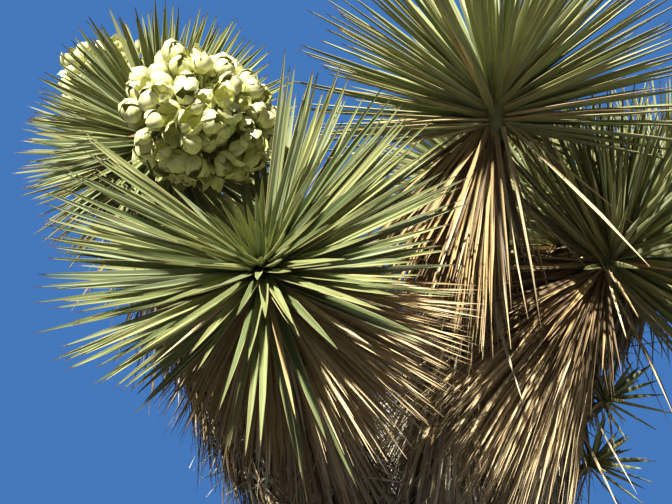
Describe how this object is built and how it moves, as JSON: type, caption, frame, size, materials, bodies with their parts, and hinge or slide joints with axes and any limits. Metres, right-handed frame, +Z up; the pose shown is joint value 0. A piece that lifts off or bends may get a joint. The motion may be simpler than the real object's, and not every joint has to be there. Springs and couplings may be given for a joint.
{
  "type": "joshua tree",
  "caption": "Branching desert yucca tree with a flared trunk, thatched boughs, round heads of dagger leaves, skirts of dead leaves and two panicles of flowers.",
  "frame": {"origin": "middle of the flat cut under the trunk, at ground level", "axes": "+Z up, -Y towards the viewer of the picture, +X to the right in it"},
  "size_m": [1.6266, 1.6102, 2.9123],
  "materials": {
    "bark": "rough",
    "leaf": "waxy",
    "skirt": "dry",
    "thatch": "dry",
    "flower": "waxy",
    "dry_stalk": "dry"
  },
  "bodies": {
    "root": {"trunk": "bark", "bough_left_fork": "bark", "bough_back_fork": "bark", "bough_front": "bark", "bough_flowering_left": "bark", "bough_flowering_back": "bark", "bough_middle": "bark", "bough_right": "bark", "bough_far_right": "bark", "bough_inner": "bark", "bough_back": "bark", "bough_back_left": "bark", "bough_shoot_upper": "bark", "bough_shoot_lower": "bark", "head_front": "leaf", "head_flowering_left": "leaf", "head_flowering_back": "leaf", "head_middle": "leaf", "head_right": "leaf", "head_far_right": "leaf", "head_inner": "leaf", "head_back": "leaf", "head_back_left": "leaf", "head_shoot_upper": "leaf", "head_shoot_lower": "leaf", "panicle_flowering_left": "flower", "panicle_flowering_back": "flower", "old_stalk": "dry_stalk", "skirt_front": "skirt", "skirt_flowering_left": "skirt", "skirt_flowering_back": "skirt", "skirt_middle": "skirt", "skirt_right": "skirt", "skirt_far_right": "skirt", "skirt_inner": "skirt", "skirt_back": "skirt", "skirt_back_left": "skirt", "thatch_trunk": "thatch", "thatch_left_fork": "thatch", "thatch_back_fork": "thatch", "thatch_front": "thatch", "thatch_flowering_left": "thatch", "thatch_flowering_back": "thatch", "thatch_middle": "thatch", "thatch_right": "thatch", "thatch_far_right": "thatch", "thatch_inner": "thatch", "thatch_back": "thatch", "thatch_back_left": "thatch"}
  },
  "joints": []
}
